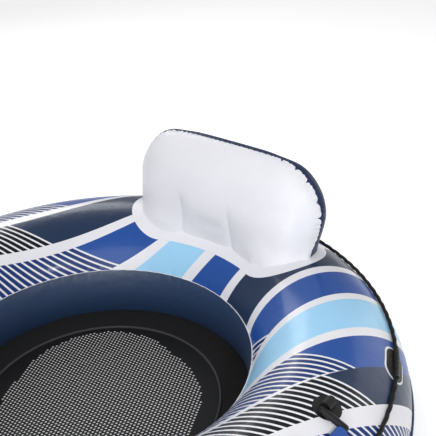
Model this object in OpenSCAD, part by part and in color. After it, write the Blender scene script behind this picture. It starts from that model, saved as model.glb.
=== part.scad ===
// Inflatable river tube with a backrest, a mesh seat and an all-round grab rope.
// The rider faces -Y and leans on the backrest at +Y, so +X is the rider's left.
// Sizes are in millimetres, and the ring stands on the plane z = 0.

/* [Ring] */
// Outer diameter of the inflated ring
ring_d = 1190; // [1150:5:1230]
// Diameter of the tube that the ring is bent from
tube_d = 300.6; // [290:0.2:312]
// Thickness of the vinyl skin
skin = 0.5; // [0.4:0.1:0.8]
// Depth by which the underside is pressed flat where it rests
rest_depth = 3; // [2:0.5:6]
// Angle from the inner equator to the seam above it and the seam below it
wall_angle = 21.6; // [18:0.2:26]
// Height that a weld seam stands proud of the skin
seam_h = 4; // [2:0.5:6]

/* [Backrest] */
// Width of the backrest at its widest
back_w = 482; // [460:2:500]
// Height of the backrest above the ring, along its lean
back_h = 185; // [170:1:200]
// Radius of the two top corners
back_corner_r = 110; // [90:1:115]
// Thickness of the backrest through its middle
back_t = 132; // [110:2:140]
// Angle that the backrest leans back
back_lean = 8; // [4:1:12]
// Half the width of the weld flange around the foot of the backrest
flange_w = 90.5; // [84:0.5:94]
// Half the depth of the backrest where it meets the ring
foot_w = 76; // [70:1:78]
// Angle from the middle of the backrest to the centre of its rounded end
foot_angle = 20.7; // [18:0.1:22]

/* [Seat] */
// Radius of the mesh sheet
mesh_r = 242; // [236:1:250]
// Radius of the piping around the mesh
piping_r = 238.9; // [232:0.1:240]
// Thickness of the mesh sheet and of the skirt
sheet_t = 0.8; // [0.6:0.1:1.2]

/* [Grab rope] */
// Diameter of the rope
rope_d = 8; // [6:0.5:10]
// Angle of the rope above the outer equator
rope_angle = 40; // [32:1:46]
// Angles of the six rope patches round the ring, from the backrest
patch_azimuths = [0, 62, 120, 180, 240, 298];
// Length of a rope patch along the rope
patch_l = 74; // [60:1:90]
// Width of a rope patch across the rope
patch_w = 42; // [34:1:48]

/* [Cup holders] */
// Inner diameter of a cup holder
cup_d = 84; // [76:1:90]
// Depth of a cup holder below the top of the ring
cup_depth = 76; // [60:1:90]
// Angle around the ring from the backrest to a cup holder
cup_azimuth = 125; // [118:1:132]

/* [Handles] */
// Distance between the inner faces of a handle's two lugs
handle_span = 100; // [90:1:110]
// Distance from the pivot to the middle of the grip
handle_reach = 42; // [38:1:48]
// Diameter of the pins that the handle turns on
handle_pin_d = 8; // [6:0.5:9]

/* [Valves] */
// Angle around the ring from the backrest to a ring valve
valve_azimuth = 150; // [145:1:156]
// Radius of a valve's weld flange
valve_flange_r = 19; // [17:0.5:22]
// Radius of the hole that air goes through
valve_bore_r = 4.5; // [4:0.1:5]

/* [Hidden] */
$fn = 96;
tube_r = tube_d / 2;
ring_r = ring_d / 2 - tube_r;
tube_z = tube_r - rest_depth;
ring_top = tube_z + tube_r;
seam_t = 1;

// Seams, as angles around the tube: 0 is the outer equator and 90 the top.
inner_seam_angle = 180 - wall_angle;
skirt_angle = 180 + wall_angle;

// Backrest: its own frame stands on the top of the ring and leans back.
back_y = 416;
end_x = back_w / 2 - back_corner_r;
shoulder_z = back_h - back_corner_r;
foot_line_r = 437.5;
foot_half = foot_line_r * sin(foot_angle) + foot_w;
base_t = 0.6;
seam_root = 1.5;
web_x = [-78, 53];
web_top = 84;

// Seat: the skirt meets the tube at the lower inner seam.
skirt_z = tube_z + tube_r * sin(skirt_angle);
skirt_in_r = mesh_r - 8;
piping_bead_r = 2.4;
band_angle = 12;

// Rope and what holds it.
rope_r = rope_d / 2;
rope_gap = 0.15;
rope_out = tube_r + rope_r + rope_gap;
patch_t = 1;
sleeve_l_angle = 3.6;
sleeve_azimuth = 150;

cup_r = cup_d / 2;
cup_wall = 0.8;
cup_rim_w = 14;
cup_rim_t = 1;

// Handle: its frame is on the ring's shoulder, x along the ring and y outward.
handle_azimuth = 90;
handle_angle = 75;
handle_axis_z = 9;
handle_bar_r = 6;
handle_grip_r = 10;
handle_grip_l = 66;
handle_lug_l = 20;
handle_lug_r = 9;
handle_droop = 5.5;
handle_gap = 1;
handle_leg_x = handle_span / 2 - handle_bar_r - handle_gap;
handle_pin_in = 14;
running_gap = 0.1;
groove_r = 2;
groove_step = 13;

// Valve: its frame is on the skin, z pointing out, the cap's hinge at +x.
valve_angle = 70;
stem_r = 7.5;
stem_h = 12;
valve_plate = [-2.2, 0.8];
valve_in = -14;
hinge_x = 11.5;
hinge_z = 12.9;
hinge_pin_r = 0.6;
hinge_ear_r = 1.8;
hinge_ear_t = 1.6;
hinge_slot = 2.4;
cap_z = 12.3;
cap_t = 1.8;
cap_r = 8;
plug_l = 4;
back_valve = [0, 76, 52];
back_valve_tilt = 75;

print_white = [0.93, 0.93, 0.95];
navy = [0.16, 0.22, 0.36];
royal = [0.17, 0.33, 0.62];
sky = [0.65, 0.83, 0.95];
black = [0.08, 0.08, 0.08];

// ---- Shared geometry ----

// Wedge of the section plane between two angles around the tube
function wedge(a0, a1) =
    concat([[0, 0]], [for (i = [0:8]) 2 * tube_r * [cos(a0 + (a1 - a0) * i / 8), sin(a0 + (a1 - a0) * i / 8)]]);

// Section of the tube, grown by e, with its underside pressed flat
module tube_section(e = 0) {
    intersection() {
        circle(tube_r + e, $fn = 180);
        translate([-2 * tube_r, -tube_z - e]) square([4 * tube_r, 4 * tube_r]);
    }
}

// Section of a skin from e0 to e1 outside the tube, between two angles around it
module skin_section(e0, e1, a0, a1) {
    intersection() {
        difference() {
            tube_section(e1);
            tube_section(e0);
        }
        polygon(wedge(a0, a1));
    }
}

// Turns a section drawn about the tube's centre into a full ring
module around_ring() {
    rotate_extrude($fn = 180) translate([ring_r, tube_z]) children();
}

// Turns a section through a span of the ring centred on an azimuth
module along_ring(azimuth, span) {
    rotate([0, 0, 90 - azimuth - span / 2])
        rotate_extrude(angle = span, $fn = 180) translate([ring_r, tube_z]) children();
}

// The whole ring as one solid, grown by e, to trim what sits on it
module ring_solid(e = 0) {
    around_ring() tube_section(e);
}

// Puts children on the skin: z points out of it, x runs along the ring, y towards the outer equator
module on_ring(azimuth, angle) {
    rotate([0, 0, -azimuth])
        translate([0, ring_r + tube_r * cos(angle), tube_z + tube_r * sin(angle)])
            rotate([angle - 90, 0, 0]) children();
}

// Puts children in the backrest's frame
module on_backrest() {
    translate([0, back_y, ring_top]) rotate([-back_lean, 0, 0]) children();
}

module on_back_valve() {
    on_backrest() translate(back_valve) rotate([-back_valve_tilt, 0, 0]) children();
}

// ---- Ring ----

module ring_holes() {
    for (s = [-1, 1]) {
        rotate([0, 0, -s * cup_azimuth]) translate([0, ring_r, ring_top - cup_depth])
            cylinder(r = cup_r + cup_wall, h = 2 * cup_depth);
        on_ring(s * valve_azimuth, valve_angle) cylinder(r = valve_flange_r, h = 12, center = true);
    }
}

module top_panel() {
    color(print_white) difference() {
        around_ring() skin_section(-skin, 0, 0, inner_seam_angle);
        ring_holes();
    }
}

module inner_wall() {
    color(navy) around_ring() skin_section(-skin, 0, inner_seam_angle, skirt_angle);
}

module bottom_panel() {
    color(navy) around_ring() skin_section(-skin, 0, skirt_angle, 360);
}

// A weld seam that stands proud of the tube at an angle around it
module seam_ring(angle, height) {
    around_ring() difference() {
        rotate(angle) translate([tube_r - 1, -seam_t / 2]) square([height + 1, seam_t]);
        tube_section();
    }
}

module outer_seam() {
    color(navy) seam_ring(0, seam_h);
}

module inner_seam() {
    color(print_white) seam_ring(inner_seam_angle, seam_h / 2);
}

// Two walls inside the tube part it into a left and a right air chamber
module chamber_walls() {
    color(print_white) for (s = [-1, 1])
        translate([0, s * ring_r, tube_z]) rotate([90, 0, 90])
            linear_extrude(skin, center = true) tube_section(-skin);
}

// ---- Backrest ----

// White sheet that the backrest stands on, welded to the ring: an arched strip with two round ends
module back_base() {
    strip_w = flange_w - 0.5;
    color(print_white) intersection() {
        around_ring() skin_section(0, base_t, 30, 150);
        translate([0, 0, tube_z + 20]) {
            for (s = [-1, 1]) translate(foot_line_r * [s * sin(foot_angle), cos(foot_angle)])
                cylinder(r = flange_w, h = tube_d);
            rotate([0, 0, 90 - foot_angle]) rotate_extrude(angle = 2 * foot_angle, $fn = 180)
                translate([foot_line_r - strip_w, 0]) square([2 * strip_w, tube_d]);
        }
    }
}

// The inflated backrest as one solid, shrunk by e
module pillow(e = 0) {
    difference() {
        hull() {
            on_backrest() for (s = [-1, 1])
                translate([s * end_x, 0, shoulder_z])
                    scale([back_corner_r - e, back_t / 2 - e, back_corner_r - e]) sphere(1, $fn = 40);
            translate([0, 0, ring_top - 50]) for (a = [-foot_angle, 0, foot_angle])
                translate(foot_line_r * [sin(a), cos(a)]) cylinder(r = foot_w - e, h = 46, $fn = 40);
        }
        ring_solid(base_t);
    }
}

// Keeps the side of the seam plane that s points to
module half_space(s) {
    on_backrest() translate([0, s * 300, 0]) cube([700, 600, 900], center = true);
}

module back_shell(s) {
    intersection() {
        difference() {
            pillow();
            pillow(skin);
        }
        half_space(s);
    }
}

module back_front() {
    color(print_white) back_shell(-1);
}

module back_rear() {
    color(navy) difference() {
        back_shell(1);
        on_back_valve() cylinder(r = valve_flange_r, h = 16, center = true);
    }
}

// Outline of the backrest in its seam plane, grown by e
module back_outline(e) {
    for (s = [-1, 1]) translate([s * end_x, shoulder_z]) circle(back_corner_r + e);
    translate([-end_x, shoulder_z]) square([2 * end_x, back_corner_r + e]);
    polygon([
        [-foot_half - e, -30], [foot_half + e, -30],
        [back_w / 2 + e, shoulder_z], [-back_w / 2 - e, shoulder_z]
    ]);
}

module back_seam() {
    color(print_white) difference() {
        on_backrest() rotate([90, 0, 0]) linear_extrude(seam_t, center = true) difference() {
            back_outline(seam_h);
            back_outline(seam_root);
        }
        ring_solid(base_t);
    }
}

// Two upright webs inside tie the front to the rear, low down
module back_webs() {
    color(print_white) intersection() {
        pillow(skin + 0.3);
        on_backrest() for (x = web_x)
            translate([x - skin / 2, -foot_w - 40, -40]) cube([skin, 2 * foot_w + 80, web_top + 40]);
    }
}

// ---- Seat ----

// Black skirt from the tube in to the mesh
module skirt() {
    color(black) difference() {
        translate([0, 0, skirt_z]) linear_extrude(sheet_t) difference() {
            circle(ring_r, $fn = 180);
            circle(skirt_in_r, $fn = 180);
        }
        ring_solid();
    }
}

// Turned edge of the skirt, welded to the underside of the tube
module skirt_band() {
    color(black) around_ring() skin_section(0, sheet_t, skirt_angle, skirt_angle + band_angle);
}

module piping() {
    color(black) translate([0, 0, skirt_z + sheet_t]) rotate_extrude($fn = 180)
        polygon([for (a = [-30:30:210])
            [piping_r + piping_bead_r * cos(a), piping_bead_r / 2 + piping_bead_r * sin(a)]]);
}

module mesh_panel() {
    color(black) translate([0, 0, skirt_z - sheet_t]) linear_extrude(sheet_t) circle(mesh_r, $fn = 180);
}

// ---- Grab rope ----

// Section of the rope, or of a hole for it
module rope_section(radius) {
    rotate(rope_angle) translate([rope_out, 0]) circle(radius, $fn = 48);
}

module rope() {
    color(black) around_ring() rope_section(rope_r);
}

module rope_sleeve() {
    color(black) along_ring(sleeve_azimuth, sleeve_l_angle) difference() {
        rope_section(rope_r + 2);
        rope_section(rope_r + running_gap);
        tube_section();
    }
}

// Rounded patch with a tunnel for the rope, welded to the ring
module rope_patch(azimuth) {
    color(black) intersection() {
        along_ring(azimuth, 10) difference() {
            union() {
                skin_section(0, patch_t, rope_angle - 12, rope_angle + 12);
                rope_section(rope_r + patch_t + 0.3);
            }
            tube_section();
            rope_section(rope_r + 0.25);
        }
        on_ring(azimuth, rope_angle) linear_extrude(60, center = true) {
            for (s = [-1, 1]) translate([s * (patch_l - patch_w) / 2, 0]) circle(patch_w / 2);
            square([patch_l - patch_w, patch_w], center = true);
        }
    }
}

// ---- Cup holders ----

module cup_holder(s) {
    color(royal) rotate([0, 0, -s * cup_azimuth]) difference() {
        translate([0, ring_r, ring_top - cup_depth]) difference() {
            cylinder(r = cup_r + cup_wall, h = 2 * cup_depth);
            translate([0, 0, cup_wall]) cylinder(r = cup_r, h = 2 * cup_depth);
        }
        difference() {
            translate([0, ring_r, ring_top]) cube([300, 300, 300], center = true);
            ring_solid();
        }
    }
}

module cup_rim(s) {
    color(royal) intersection() {
        along_ring(s * cup_azimuth, 20) skin_section(0, cup_rim_t, 60, 120);
        rotate([0, 0, -s * cup_azimuth]) translate([0, ring_r, tube_z]) difference() {
            cylinder(r = cup_r + cup_rim_w, h = tube_d);
            translate([0, 0, -1]) cylinder(r = cup_r, h = tube_d + 2);
        }
    }
}

// ---- Handles ----

module on_handle(s) {
    on_ring(s * handle_azimuth, handle_angle) children();
}

// A cylinder along x from x0 to x1
module x_rod(x0, x1, radius) {
    translate([x0, 0, 0]) rotate([0, 90, 0]) cylinder(r = radius, h = x1 - x0, $fn = 48);
}

// Two lugs on weld patches, with the holes that the handle turns in
module handle_base(s) {
    lug_mid = (handle_span + handle_lug_l) / 2;
    color(black) {
        difference() {
            on_handle(s) for (m = [0, 1]) mirror([m, 0, 0]) difference() {
                union() {
                    translate([handle_span / 2, 0, handle_axis_z]) x_rod(0, handle_lug_l, handle_lug_r);
                    translate([handle_span / 2, -handle_lug_r, -12])
                        cube([handle_lug_l, 2 * handle_lug_r, 12 + handle_axis_z]);
                }
                translate([handle_span / 2, 0, handle_axis_z])
                    x_rod(-1, handle_pin_in + 1, handle_pin_d / 2 + running_gap);
            }
            ring_solid();
        }
        intersection() {
            along_ring(s * handle_azimuth, 26) skin_section(0, patch_t, 50, 100);
            on_handle(s) for (m = [-1, 1])
                translate([m * lug_mid, 0, 0]) cylinder(r = 24, h = 60, center = true);
        }
    }
}

// Children drawn with the handle's reach along y are laid down onto the ring
module handle_pose(s) {
    on_handle(s) translate([0, 0, handle_axis_z]) rotate([-handle_droop, 0, 0]) children();
}

module handle_bail(s) {
    color(black) handle_pose(s) {
        for (m = [0, 1]) mirror([m, 0, 0]) {
            x_rod(handle_leg_x, handle_span / 2 + handle_pin_in - handle_gap, handle_pin_d / 2);
            translate([handle_leg_x, 0, 0]) {
                sphere(handle_bar_r, $fn = 48);
                rotate([-90, 0, 0]) cylinder(r = handle_bar_r, h = handle_reach, $fn = 48);
            }
            translate([handle_leg_x, handle_reach, 0]) sphere(handle_bar_r, $fn = 48);
        }
        translate([0, handle_reach, 0]) x_rod(-handle_leg_x, handle_leg_x, handle_bar_r);
    }
}

// Ribbed sleeve on the handle's bar
module handle_grip(s) {
    color(royal) handle_pose(s) translate([0, handle_reach, 0]) difference() {
        x_rod(-handle_grip_l / 2, handle_grip_l / 2, handle_grip_r);
        x_rod(-handle_grip_l, handle_grip_l, handle_bar_r);
        for (i = [-2:2]) translate([i * groove_step, 0, 0]) rotate([0, 90, 0])
            rotate_extrude($fn = 48) translate([handle_grip_r + groove_r / 2, 0]) circle(groove_r, $fn = 24);
    }
}

// ---- Valves ----

module valve_body() {
    color(sky) difference() {
        union() {
            translate([0, 0, valve_plate[0]]) cylinder(r = valve_flange_r, h = valve_plate[1] - valve_plate[0]);
            translate([0, 0, valve_in]) cylinder(r = stem_r, h = stem_h - valve_in);
            for (s = [-1, 1]) translate([0, s * (hinge_slot + hinge_ear_t / 2), 0]) {
                translate([hinge_x, 0, hinge_z]) rotate([90, 0, 0])
                    cylinder(r = hinge_ear_r, h = hinge_ear_t, center = true, $fn = 32);
                translate([stem_r - 2, -hinge_ear_t / 2, hinge_z - 5])
                    cube([hinge_x - stem_r + 2, hinge_ear_t, 4]);
            }
        }
        translate([0, 0, valve_in - 1]) cylinder(r = valve_bore_r, h = stem_h - valve_in + 2);
        translate([hinge_x, 0, hinge_z]) rotate([90, 0, 0])
            cylinder(r = hinge_pin_r + running_gap, h = 12, center = true, $fn = 24);
    }
}

// Check flap that closes the inner end of the stem
module valve_flap() {
    color(sky) translate([0, 0, valve_in - 0.6]) cylinder(r = valve_bore_r + 1.5, h = 0.6);
}

// Cap with its plug, its tongue, its hinge pin and a tab to pull
module valve_cap() {
    color(sky) {
        translate([0, 0, cap_z]) cylinder(r = cap_r, h = cap_t);
        translate([0, 0, cap_z - plug_l]) cylinder(r1 = 3.2, r2 = 4.1, h = plug_l);
        translate([0, -hinge_slot + 0.3, cap_z]) cube([hinge_x, 2 * hinge_slot - 0.6, cap_t - 0.3]);
        translate([-cap_r - 4, -3, cap_z]) cube([6, 6, 1]);
        translate([hinge_x, 0, hinge_z]) rotate([90, 0, 0]) {
            cylinder(r = 1.1, h = 2 * hinge_slot - 0.6, center = true, $fn = 24);
            cylinder(r = hinge_pin_r, h = 2 * (hinge_slot + hinge_ear_t), center = true, $fn = 24);
        }
    }
}

module on_ring_valve(s) {
    on_ring(s * valve_azimuth, valve_angle) children();
}

// ---- Nodes ----

top_panel();
inner_wall();
bottom_panel();
outer_seam();
inner_seam();
chamber_walls();
back_base();
back_front();
back_rear();
back_seam();
back_webs();
skirt();
skirt_band();
piping();
mesh_panel();
rope();
rope_sleeve();
for (i = [0:5])
    rope_patch(patch_azimuths[i]);
cup_holder(1);  // cup_left
cup_holder(-1);  // cup_right
cup_rim(1);  // cup_rim_left
cup_rim(-1);  // cup_rim_right
handle_base(1);  // handle_base_left
handle_base(-1);  // handle_base_right
handle_bail(1);  // handle_bail_left
handle_bail(-1);  // handle_bail_right
handle_grip(1);  // handle_grip_left
handle_grip(-1);  // handle_grip_right
on_ring_valve(1) valve_body();  // valve_body_left
on_ring_valve(-1) valve_body();  // valve_body_right
on_back_valve() valve_body();  // valve_body_back
on_ring_valve(1) valve_flap();  // valve_flap_left
on_ring_valve(-1) valve_flap();  // valve_flap_right
on_back_valve() valve_flap();  // valve_flap_back
on_ring_valve(1) valve_cap();  // valve_cap_left
on_ring_valve(-1) valve_cap();  // valve_cap_right
on_back_valve() valve_cap();  // valve_cap_back
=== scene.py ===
"""Looks of an inflatable river tube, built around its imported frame.

Lengths are in metres. The rider faces -Y and leans on the backrest at +Y, so +X is the rider's
left. A turn is an angle round the ring from +Y towards +X. An angle round the tube is 0 at its
outer equator, a quarter turn at its top and half a turn at its inner equator.
"""

import logging
import math
import random
from dataclasses import dataclass, field
from enum import Enum

import bmesh
import bpy
from mathutils import Matrix, Vector


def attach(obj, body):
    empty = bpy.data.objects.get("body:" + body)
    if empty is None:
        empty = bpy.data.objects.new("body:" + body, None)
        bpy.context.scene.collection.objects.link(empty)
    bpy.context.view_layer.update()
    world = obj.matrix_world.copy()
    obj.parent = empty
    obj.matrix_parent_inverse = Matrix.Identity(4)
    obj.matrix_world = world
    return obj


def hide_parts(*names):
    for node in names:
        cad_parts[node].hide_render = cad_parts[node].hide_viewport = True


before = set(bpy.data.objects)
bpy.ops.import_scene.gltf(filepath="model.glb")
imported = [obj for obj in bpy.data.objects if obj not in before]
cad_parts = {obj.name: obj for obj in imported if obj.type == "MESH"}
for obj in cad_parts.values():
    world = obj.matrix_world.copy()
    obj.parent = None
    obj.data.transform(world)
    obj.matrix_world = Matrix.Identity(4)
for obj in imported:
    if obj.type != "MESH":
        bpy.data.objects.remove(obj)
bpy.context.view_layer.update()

LOG = logging.getLogger("river_tube")
MM = 0.001

Socket = bpy.types.NodeSocket
Colour = tuple[float, float, float, float]
Profile = list[tuple[float, float]]


def ink(red: int, green: int, blue: int) -> Colour:
    """Turns a display colour, 0 to 255 a channel, into the linear colour that a shader takes.

    Args:
        red: Red channel.
        green: Green channel.
        blue: Blue channel.

    Returns:
        The linear colour with an alpha of 1.
    """

    def linear(channel: int) -> float:
        """The linear value of one channel."""
        share = channel / 255
        return share / 12.92 if share <= 0.04045 else ((share + 0.055) / 1.055) ** 2.4

    return (linear(red), linear(green), linear(blue), 1.0)


# ---------------------------------------------------------------- shader nodes


# A Mix node's sockets for colours: the share and the two colours, and the result.
COLOUR_MIX_INPUTS = (0, 6, 7)
COLOUR_MIX_OUTPUT = 2


class Wiring:
    """Places and joins shader nodes in one node tree."""

    def __init__(self, tree: bpy.types.NodeTree) -> None:
        """Wraps a node tree."""
        self.tree = tree

    def add(self, kind: str, **settings: object) -> bpy.types.Node:
        """Places one node.

        Args:
            kind: The node's type, without ShaderNode in front.
            settings: Properties to set on it.

        Returns:
            The node.
        """
        node = self.tree.nodes.new(f"ShaderNode{kind}")
        for key, value in settings.items():
            setattr(node, key, value)
        return node

    def feed(self, socket: Socket, value: object) -> None:
        """Joins a socket to another one, or sets its value.

        Args:
            socket: The socket to feed.
            value: Another socket, or a value.
        """
        if isinstance(value, bpy.types.NodeSocket):
            self.tree.links.new(value, socket)
        else:
            socket.default_value = value

    def fill(self, node: bpy.types.Node, inputs: dict[str, object]) -> None:
        """Feeds several of a node's sockets.

        Args:
            node: The node.
            inputs: Sockets or values, by the name of the socket that they go to.
        """
        for name, value in inputs.items():
            self.feed(node.inputs[name], value)

    def math(self, operation: str, *values: object, clamp: bool = False) -> Socket:
        """Places a Math node on up to three values and returns its result.

        Args:
            operation: What the node does.
            values: Sockets or numbers, in order.
            clamp: Whether the result is kept between 0 and 1.

        Returns:
            The result.
        """
        node = self.add("Math", operation=operation, use_clamp=clamp)
        for socket, value in zip(node.inputs, values):
            self.feed(socket, value)
        return node.outputs[0]

    def vector(self, operation: str, a: object, b: object) -> Socket:
        """Places a Vector Math node on two vectors and returns its vector.

        Args:
            operation: What the node does.
            a: First vector.
            b: Second vector.

        Returns:
            The resulting vector.
        """
        node = self.add("VectorMath", operation=operation)
        for socket, value in zip(node.inputs, (a, b)):
            self.feed(socket, value)
        return node.outputs[0]

    def mix(self, share: object, a: object, b: object, blend: str = "MIX") -> Socket:
        """Mixes colour a towards colour b by a share.

        Args:
            share: 0 for a, 1 for b.
            a: First colour.
            b: Second colour.
            blend: How the two are blended.

        Returns:
            The mixed colour.
        """
        node = self.add("Mix", data_type="RGBA", blend_type=blend)
        for number, value in zip(COLOUR_MIX_INPUTS, (share, a, b)):
            self.feed(node.inputs[number], value)
        return node.outputs[COLOUR_MIX_OUTPUT]

    def noise(self, where: object, scale: object, detail: float = 2.0) -> Socket:
        """Places a Noise Texture and returns its value, about 0.5 on average.

        Args:
            where: The position.
            scale: Cells a metre.
            detail: Octaves of finer noise.

        Returns:
            The noise.
        """
        node = self.add("TexNoise")
        self.fill(node, {"Vector": where, "Scale": scale, "Detail": detail})
        return node.outputs[0]

    def split(self, vector: Socket) -> tuple[Socket, Socket, Socket]:
        """Returns the x, y and z of a vector.

        Args:
            vector: The vector.

        Returns:
            Its x, y and z.
        """
        node = self.add("SeparateXYZ")
        self.feed(node.inputs[0], vector)
        return node.outputs[0], node.outputs[1], node.outputs[2]

    def length(self, a: Socket, b: Socket) -> Socket:
        """Returns the length of a vector whose two parts are at right angles.

        Args:
            a: Its first part.
            b: Its second part.

        Returns:
            The length.
        """
        squares = self.math("ADD", self.math("MULTIPLY", a, a), self.math("MULTIPLY", b, b))
        return self.math("SQRT", squares)

    def above(self, value: Socket, limit: object, soft: float = 0.0003) -> Socket:
        """Returns a mask that is 1 where a value is above a limit, with a soft edge."""
        past = self.math("SUBTRACT", value, limit)
        return self.math("MULTIPLY_ADD", past, 1 / soft, 0.5, clamp=True)

    def group(self, tree: bpy.types.NodeTree, **values: object) -> dict[str, Socket]:
        """Places a node group.

        Args:
            tree: The group.
            values: Its inputs by name, with _ for a space.

        Returns:
            Its outputs by name.
        """
        node = self.add("Group")
        node.node_tree = tree
        for key, value in values.items():
            self.feed(node.inputs[key.replace("_", " ").capitalize()], value)
        return {socket.name: socket for socket in node.outputs}


class SocketKind(Enum):
    """What a group's socket carries."""

    VALUE = "NodeSocketFloat"
    VECTOR = "NodeSocketVector"
    COLOUR = "NodeSocketColor"


def new_group(
    name: str, inputs: dict[str, SocketKind], outputs: dict[str, SocketKind]
) -> tuple[Wiring, dict[str, Socket], dict[str, Socket]]:
    """Starts a shader node group.

    Args:
        name: The group's name.
        inputs: What goes in, by socket name.
        outputs: What comes out, by socket name.

    Returns:
        The wiring of its tree, the sockets to read from and the sockets to feed.
    """
    tree = bpy.data.node_groups.new(name, "ShaderNodeTree")
    for label, kind in inputs.items():
        tree.interface.new_socket(name=label, in_out="INPUT", socket_type=kind.value)
    for label, kind in outputs.items():
        tree.interface.new_socket(name=label, in_out="OUTPUT", socket_type=kind.value)
    entry, leave = tree.nodes.new("NodeGroupInput"), tree.nodes.new("NodeGroupOutput")
    reads = {s.name: s for s in entry.outputs if s.name}
    feeds = {s.name: s for s in leave.inputs if s.name}
    return Wiring(tree), reads, feeds


class Effects:
    """The shader node groups that the finishes share, each built once."""

    print_turn = 30.0
    hatch_turn = -16.0

    def __init__(self) -> None:
        """Builds every group."""
        self.film = self._film()
        self.weave = self._weave()
        self.grain = self._grain()
        self.place = self._place()
        self.band = self._band()
        self.patch_ring = self._patch_ring()

    def _film(self) -> bpy.types.NodeTree:
        """Blown vinyl film: slow swells, fine orange peel and faint scuffs.

        Returns:
            The group.
        """
        w, reads, feeds = new_group(
            "Film",
            {"Position": SocketKind.VECTOR, "Swell": SocketKind.VALUE},
            {"Tone": SocketKind.VALUE, "Gloss": SocketKind.VALUE, "Height": SocketKind.VALUE},
        )
        where = reads["Position"]
        slow = w.noise(where, 9.0, 3.0)
        swell = w.noise(where, 38.0, 2.0)
        peel = w.noise(where, 620.0, 1.0)
        scuff = w.noise(w.vector("MULTIPLY", where, (1.0, 1.0, 6.0)), 120.0, 4.0)
        tone_swing, gloss_swing, peel_height = 0.14, 0.22, 0.035
        w.feed(feeds["Tone"], w.math("MULTIPLY_ADD", w.math("SUBTRACT", slow, 0.5), tone_swing, 1.0))
        w.feed(feeds["Gloss"], w.math("MULTIPLY", w.math("SUBTRACT", scuff, 0.5), gloss_swing))
        swells = w.math("MULTIPLY", swell, reads["Swell"])
        w.feed(feeds["Height"], w.math("MULTIPLY_ADD", peel, peel_height, swells))
        return w.tree

    def _weave(self) -> bpy.types.NodeTree:
        """Plain weave: threads over and under each other at a pitch, with a little fuzz and painted
        shade between the threads.

        Returns:
            The group.
        """
        w, reads, feeds = new_group(
            "Weave",
            {"Position": SocketKind.VECTOR, "Pitch": SocketKind.VALUE},
            {"Tone": SocketKind.VALUE, "Height": SocketKind.VALUE},
        )
        x, y, _ = w.split(reads["Position"])
        turns = w.math("DIVIDE", math.pi, reads["Pitch"])
        warp = w.math("SINE", w.math("MULTIPLY", x, turns))
        weft = w.math("SINE", w.math("MULTIPLY", y, turns))
        over = w.math("ABSOLUTE", w.math("MULTIPLY", warp, weft))
        fuzz = w.noise(reads["Position"], 1500.0, 2.0)
        w.feed(feeds["Height"], w.math("MULTIPLY_ADD", fuzz, 0.4, over))
        # The tone varies at random with the fuzz, and it is darker where the weave sinks between
        # threads, as painted shade.
        dim = w.math("MULTIPLY_ADD", fuzz, 0.3, 0.65)
        w.feed(feeds["Tone"], w.math("MULTIPLY_ADD", over, 0.3, dim))
        return w.tree

    def _grain(self) -> bpy.types.NodeTree:
        """Embossed grain: small raised cells with creases between them, with painted shade in the
        creases and a painted highlight on the crowns.

        Returns:
            The group.
        """
        w, reads, feeds = new_group(
            "Grain",
            {"Position": SocketKind.VECTOR, "Scale": SocketKind.VALUE},
            {"Tone": SocketKind.VALUE, "Height": SocketKind.VALUE},
        )
        cells = w.add("TexVoronoi", feature="DISTANCE_TO_EDGE")
        w.feed(cells.inputs["Vector"], reads["Position"])
        w.feed(cells.inputs["Scale"], reads["Scale"])
        crown = w.math("MULTIPLY", cells.outputs[0], 3.0, clamp=True)
        fine = w.noise(reads["Position"], w.math("MULTIPLY", reads["Scale"], 4.0), 2.0)
        w.feed(feeds["Height"], w.math("MULTIPLY_ADD", fine, 0.3, crown))
        # Painted shade and highlight: the tone is darkest in the creases between cells and lightest
        # on their crowns.
        w.feed(feeds["Tone"], w.math("MULTIPLY_ADD", crown, 0.35, 0.75))
        return w.tree

    def _place(self) -> bpy.types.NodeTree:
        """Where a point of the ring lay on the flat sheet that the print went on.

        Returns:
            The group.
        """
        w, reads, feeds = new_group(
            "Flat sheet",
            {
                "Position": SocketKind.VECTOR,
                "Ring radius": SocketKind.VALUE,
                "Tube radius": SocketKind.VALUE,
                "Tube height": SocketKind.VALUE,
            },
            {
                "Across": SocketKind.VALUE,
                "Along": SocketKind.VALUE,
                "Climb": SocketKind.VALUE,
                "Turn": SocketKind.VALUE,
                "Angle": SocketKind.VALUE,
                "Reach": SocketKind.VALUE,
            },
        )
        x, y, z = w.split(reads["Position"])
        reach = w.length(x, y)
        angle = w.math(
            "ARCTAN2",
            w.math("SUBTRACT", z, reads["Tube height"]),
            w.math("SUBTRACT", reach, reads["Ring radius"]),
        )
        down = w.math("SUBTRACT", math.pi / 2, angle)
        flat = w.math("MULTIPLY_ADD", down, reads["Tube radius"], reads["Ring radius"])
        grow = w.math("DIVIDE", flat, reach)
        flat_x, flat_y = w.math("MULTIPLY", x, grow), w.math("MULTIPLY", y, grow)

        def turned(degrees: float) -> tuple[Socket, Socket]:
            """The sheet's coordinates, turned.

            Args:
                degrees: Angle to turn them by.

            Returns:
                The turned coordinates.
            """
            c, s = math.cos(math.radians(degrees)), math.sin(math.radians(degrees))
            first = w.math("MULTIPLY_ADD", flat_x, c, w.math("MULTIPLY", flat_y, -s))
            second = w.math("MULTIPLY_ADD", flat_x, s, w.math("MULTIPLY", flat_y, c))
            return first, second

        across, along = turned(self.print_turn)
        w.feed(feeds["Across"], across)
        w.feed(feeds["Along"], along)
        w.feed(feeds["Climb"], turned(self.hatch_turn)[1])
        w.feed(feeds["Turn"], w.math("ARCTAN2", x, y))
        w.feed(feeds["Angle"], angle)
        w.feed(feeds["Reach"], reach)
        return w.tree

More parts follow.
